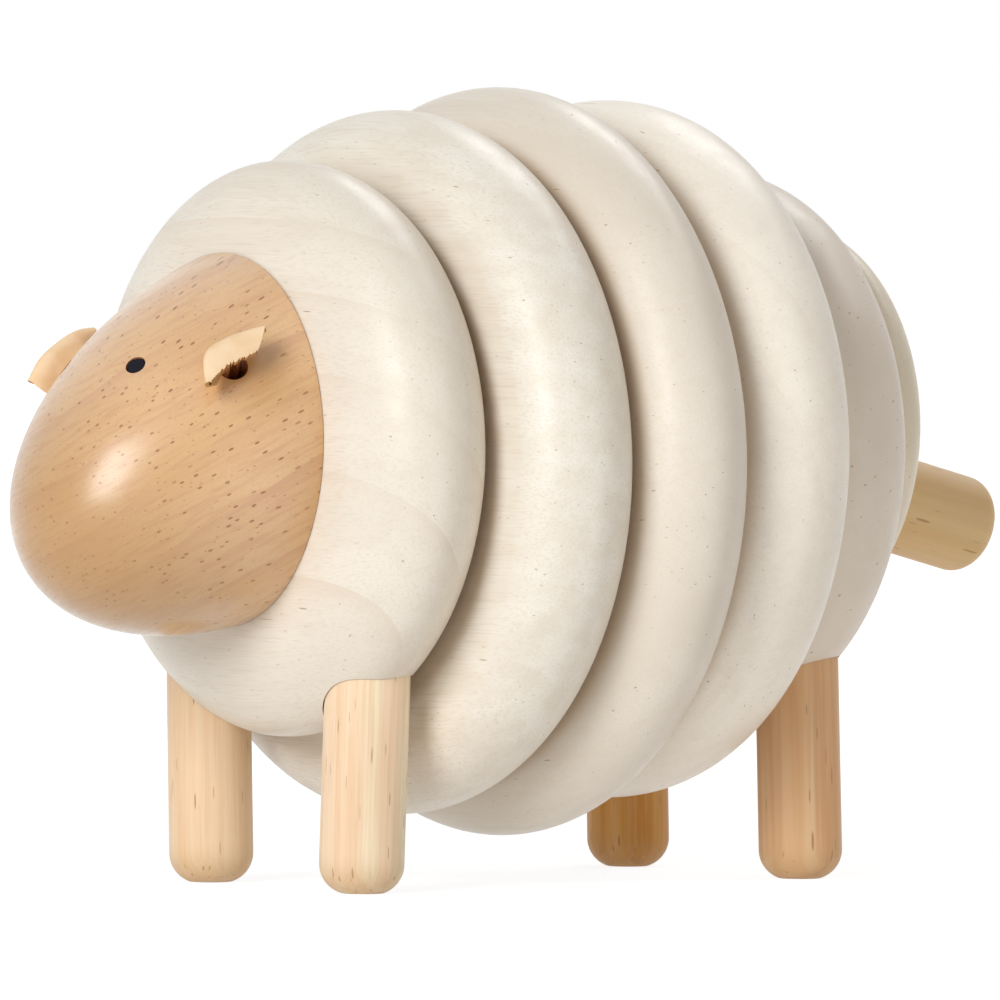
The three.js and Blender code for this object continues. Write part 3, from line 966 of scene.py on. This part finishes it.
# %% [markdown]
# ## Head finish
# The head is left in its natural orange-tan and has the only glossy coat. Its grain runs nearly
# Its grain runs nearly level through the egg, so its side shows the pores as short dashes that shrink to
# dots towards the face. It is darker and browner under the chin; painted warm shade darkens it towards the
# cheek and the neck, and a painted shadow lies behind each ear. The inside of an ear hole is darker and
# redder.

# %% Head finish
head_grain = (0.34, -0.9, -0.27)
head_layers = (-0.3, -0.37, 0.88)
chin_dark_tone = (0.42, 0.21, 0.05, 1)
# Painted shade: the warm brown for the side of the head that faces away from the lamps and for the shadow
# behind each ear
painted_warm_shade = (0.46, 0.21, 0.03, 1)
# The way to the darker part, where the darkening starts and is full in millimetres, its strength, its tone
head_darkening = (
    ((-0.2, -0.7, -0.7), 12, 42, 0.75, chin_dark_tone),
    # Painted shade with warm bounced light on the cheek side, towards the neck
    ((0.8, 0.6, -0.15), 8, 22, 0.6, painted_warm_shade),
)
# Painted shadow of each ear: a soft patch a little behind and below its hole
ear_shadow_step = Vector((0, 4 * mm, -2 * mm))
ear_shadow_reach = 10 * mm
ear_shadow_strength = 0.85
head_look = {
    "seed": 31,
    "pale": (0.79, 0.51, 0.265, 1),
    "deep": (0.74, 0.45, 0.205, 1),
    "cloud_size": (14, 50),
    "band": (0.64, 0.34, 0.17, 1),
    "layer": (0.58, 0.29, 0.16, 1),
    "fibre": (0.62, 0.36, 0.2, 1),
    "pore": (0.27, 0.08, 0.012, 1),
    "layers": (400, 8.5, 5.0),
    "layer_strength": 0.6,
    "band_size": (0.55, 45),
    "band_spread": 7.0,
    "band_strength": 0.65,
    "fibre_size": (0.22, 12),
    "fibre_strength": 0.5,
    "large_pores": (1.0, 12, 0.22, 0.95),
    "large_strength": 0.85,
    "small_pores": (0.6, 8, 0.18, 0.7),
    "small_strength": 0.6,
    "roughness": 0.34,
    "coat": 0.9,
}
hole_look = {**head_look, "pale": (0.75, 0.33, 0.16, 1), "deep": (0.6, 0.24, 0.11, 1)}
head_finish = wood("head_wood", head_centre, head_grain, head_layers, head_look)
for way, start, full, strength, tan in head_darkening:
    darken_towards(head_finish, head_centre, way, start, full, strength, tan)
# Paints each ear's shadow on the head
for spot in ear_spots.values():
    darken_around(head_finish, spot.translation + ear_shadow_step, ear_shadow_reach, ear_shadow_strength, painted_warm_shade)
hole_finish = wood("ear_hole_wood", head_centre, head_grain, head_layers, hole_look)
head = add_piece("head_turned", bm, [head_finish], "head")
drill(head, head_bores, hole_finish)
print("head finished with", len(head.data.polygons), "faces")

# %% [markdown]
# ## Eyes
# An eye is a small black stained peg, set a hair below the surface. A fine bevel softens the edge
# of its face, and the thin gap round it reads as a ring.

# %% Eyes
eye_sides = 64
eye_edge_rounding = 0.25 * mm
eye_edge_steps = 5
stain_grain = 0.5
stain_seed = 41
stain_relief = 0.03 * mm
stain_dark = (0.003, 0.002, 0.006, 1)
stain_light = (0.008, 0.007, 0.014, 1)

eye_finish, tree, shader = new_material("eye_stain")
eye_block = along_grain(tree, (0, 0, 0), (0, 0, 1), (1, 0, 0))
stain = grain_noise(tree, eye_block, stain_grain, stain_grain, stain_seed)
tree.links.new(blend_colours(tree, stain, stain_dark, stain_light), shader.inputs["Base Color"])
bump = add_node(tree, "ShaderNodeBump", {"Height": stain, "Strength": 0.2, "Distance": stain_relief})
tree.links.new(bump.outputs[0], shader.inputs["Normal"])
shader.inputs["Roughness"].default_value = 0.6
shader.inputs["Specular IOR Level"].default_value = 0.15

for side_name, spot in eye_spots.items():
    bm = rod(eye_radius, -eye_recess - eye_length, -eye_recess, Matrix.Identity(4), eye_sides)
    round_rim(bm, -eye_recess, eye_edge_rounding, eye_edge_steps)
    bmesh.ops.transform(bm, matrix=spot, verts=bm.verts)
    add_piece(f"eye_{side_name}_peg", bm, [eye_finish], f"eye_{side_name}")
    print("eye", side_name, "at", [round(value / mm, 1) for value in spot.translation])

# %% [markdown]
# ## Ears
# Each ear is one leaf of undyed leather. Its tongue is curled to a half pipe in the hole; outside, the leaf
# spreads, rises as a wall towards the top of the head and folds over the hole like a hood. A grid becomes
# the leaf: lines across it, listed from the root to the free edge, say where it goes, and a smooth curve
# runs through them in both directions. The places are in millimetres from the middle of the hole: backward
# along the head, towards its top, and out of it.
# The two leaves were cut by hand, so each has its own lines. Their free edges are frayed a little.
# `solidify` then gives the leaf its thickness.

# %% Ear lines
tongue_radius = 1.4
tongue_heights = (-6.7, -2.9, 1.0)
ear_leaf_lines = {
    "left": (
        ((-4.8, -1.3, 1.8), (-2.4, 1.3, 2.0), (0.2, 1.8, 2.0), (2.2, 1.2, 2.2), (3.8, 0.4, 2.7)),
        ((-6.4, -1.6, 3.3), (-3.2, 2.2, 3.7), (0.4, 2.4, 3.6), (3.2, 1.4, 3.9), (5.8, 0.0, 4.2)),
        ((-6.8, -1.6, 4.4), (-3.6, 2.0, 4.5), (0.2, 2.0, 4.5), (3.3, 1.1, 4.5), (6.1, 0.0, 4.6)),
        ((-6.7, -1.6, 4.6), (-3.8, 0.0, 4.8), (-0.4, 0.0, 4.8), (2.4, -0.6, 4.8), (4.3, -1.2, 4.7)),
        ((-6.5, -1.6, 4.6), (-4.3, -1.4, 4.7), (-1.9, -1.6, 4.7), (0.2, -2.0, 4.7), (2.2, -2.4, 4.6)),
    ),
    "right": (
        ((-6.3, -2.2, 1.4), (-3.2, 0.6, 1.8), (0.2, 1.6, 1.8), (2.4, 1.2, 2.0), (4.4, 0.4, 2.0)),
        ((-7.6, -1.4, 2.8), (-4.6, 1.6, 3.6), (0.0, 2.3, 3.5), (3.4, 1.7, 3.2), (5.8, 0.7, 2.6)),
        ((-7.8, -0.8, 4.2), (-4.8, 1.5, 4.7), (-0.2, 2.0, 4.4), (3.1, 1.4, 4.0), (5.6, 0.5, 3.1)),
        ((-7.6, -1.4, 4.7), (-4.6, 0.2, 5.0), (-0.6, 0.0, 4.7), (2.2, -0.6, 4.4), (4.2, -1.0, 3.8)),
        ((-7.1, -2.0, 4.6), (-4.8, -1.4, 4.9), (-2.0, -1.6, 4.7), (0.2, -2.0, 4.5), (2.3, -2.4, 4.0)),
    ),
}
leather_thickness = 1.0 * mm
leaf_rows = 60
leaf_columns = 44
# Below this height in the hole the leaf gets darker leather as painted shade
tongue_shade_height = 0.6 * mm
fray_depth = 0.055
fray_start = 0.88
fray_seed = 7
ear_crisp_angle = 60


def tongue_line(height):
    """Five places round the half pipe at one height in the hole."""
    turns = [math.radians(degrees) for degrees in (-90, -45, 0, 45, 90)]
    return [(tongue_radius * math.sin(turn), tongue_radius * math.cos(turn), height) for turn in turns]


def smooth_through(points, share):
    """A place on the smooth curve through some points; share goes from 0 to 1 along it."""
    last = len(points) - 1
    step = min(int(share * last), last - 1)
    part = share * last - step
    before, start, end, after = (Vector(points[max(0, min(step + i, last))]) for i in (-1, 0, 1, 2))
    leaving = (end - before) / 2
    arriving = (after - start) / 2
    bend = (2 * (start - end) + leaving + arriving) * part ** 3
    return bend + (3 * (end - start) - 2 * leaving - arriving) * part ** 2 + leaving * part + start


# %% Ear leaf


def ear_leaf(name, spot, side):
    """A leaf through its lines; its inner faces and edges get material 1 and its tongue material 2."""
    lines = [tongue_line(height) for height in tongue_heights] + list(ear_leaf_lines[name])
    chance = random.Random(fray_seed)
    frays = [chance.uniform(0, fray_depth) for _ in range(leaf_columns + 1)]
    bm = bmesh.new()
    bmesh.ops.create_grid(bm, x_segments=leaf_columns, y_segments=leaf_rows, size=0.5)
    for vert in bm.verts:
        # The grid is one unit wide and long, with its middle at 0
        across, along = vert.co.x + 0.5, vert.co.y + 0.5
        fray = frays[round(across * leaf_columns)]
        along -= fray * max(0, along - fray_start) / (1 - fray_start)
        place = smooth_through([smooth_through(line, across) for line in lines], along)
        vert.co = Vector((side * place.x, place.y, place.z)) * mm
    if side > 0:
        bmesh.ops.reverse_faces(bm, faces=bm.faces)
    bmesh.ops.transform(bm, matrix=spot, verts=bm.verts)
    bm.normal_update()
    for vert in bm.verts:
        vert.co += vert.normal * leather_thickness / 2
    outside = set(bm.faces)
    bmesh.ops.solidify(bm, geom=bm.faces[:], thickness=leather_thickness)
    for face in bm.faces:
        height = (spot.inverted() @ face.calc_center_median()).z
        face.material_index = 2 if height < tongue_shade_height else int(face not in outside)
    bm.normal_update()
    return bm


print("an ear leaf has", leaf_rows, "by", leaf_columns, "steps")

# %% [markdown]
# The leather is undyed. One finish serves the smooth outside, the split inside with its cut edges, and the
# tongue, whose darker tones are painted shade of its hole: soft clouds and fine fibres blend two tones, and
# the rougher the side, the more the fibres take over and stand out.

# %% Leather
hide_cloud_size = 3
hide_fibre_size = 0.18
hide_cloud_seed = 51
hide_fibre_seed = 52
hide_cloud_range = (0.35, 0.65)
hide_relief = 0.08 * mm


def leather(name, smooth_colour, rough_colour, fuzz):
    """Undyed leather: smooth outside, browner and fuzzy where it was split or cut."""
    material, tree, shader = new_material(name)
    hide = along_grain(tree, (0, 0, 0), (0, 0, 1), (1, 0, 0))
    clouds = grain_noise(tree, hide, hide_cloud_size, hide_cloud_size, hide_cloud_seed)
    fibres = grain_noise(tree, hide, hide_fibre_size, hide_fibre_size, hide_fibre_seed, detail=2.0)
    cloudiness = fade(tree, clouds, *hide_cloud_range, 0.0, 1 - fuzz)
    mottle = calculate(tree, "MULTIPLY_ADD", fibres, fuzz, cloudiness)
    tree.links.new(blend_colours(tree, mottle, smooth_colour, rough_colour), shader.inputs["Base Color"])
    inputs = {"Height": fibres, "Strength": 0.2 + fuzz * 0.8, "Distance": hide_relief}
    tree.links.new(add_node(tree, "ShaderNodeBump", inputs).outputs[0], shader.inputs["Normal"])
    shader.inputs["Roughness"].default_value = 0.7
    shader.inputs["Specular IOR Level"].default_value = 0.3
    return material


smooth_leather = leather("ear_leather", (0.96, 0.72, 0.47, 1), (0.9, 0.64, 0.38, 1), 0.1)
split_leather = leather("ear_leather_split", (0.74, 0.44, 0.19, 1), (0.42, 0.19, 0.05, 1), 0.9)
# Painted shade: the tongue deep in the hole gets darker leather
tongue_leather_painted_shade = leather("ear_leather_tongue", (0.6, 0.24, 0.07, 1), (0.38, 0.12, 0.03, 1), 0.9)
print("three sides of leather")

# %% Ears
for side_name, side in sides.items():
    bm = ear_leaf(side_name, ear_spots[side_name], side)
    finishes = [smooth_leather, split_leather, tongue_leather_painted_shade]
    add_piece(f"ear_{side_name}_leaf", bm, finishes, f"ear_{side_name}", ear_crisp_angle)
    print("ear", side_name, "folded")

# %% [markdown]
# ## Hidden dowels
# The spine and neck dowels are only seen when the toy is taken apart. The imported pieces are
# shaped well enough for that, so they stay and get a raw wood finish.

# %% Hidden dowels
raw_look = {**leg_wood, "seed": 61, "roughness": 0.7, "pale": (0.72, 0.55, 0.34, 1)}
raw_finish = wood("raw_dowel", (0, 0, spine_height), (0, 1, 0), (1, 0, 0), raw_look)
for name in ("spine_dowel", "neck_dowel"):
    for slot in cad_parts[name].material_slots:
        slot.link = "OBJECT"
        slot.material = raw_finish
    print(name, "gets raw wood")

# %% [markdown]
# ## Sizes and closing
# The model made here has to fill the same box as the imported one, so the last cell prints how far the
# corners of the two boxes differ.

# %% Sizes and closing
visual_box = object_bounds()
for corner, seen, packed in zip(("low", "high"), visual_box, cad_box):
    print(corner, "corner differs by", [round((a - b) / mm, 2) for a, b in zip(seen, packed)], "mm")
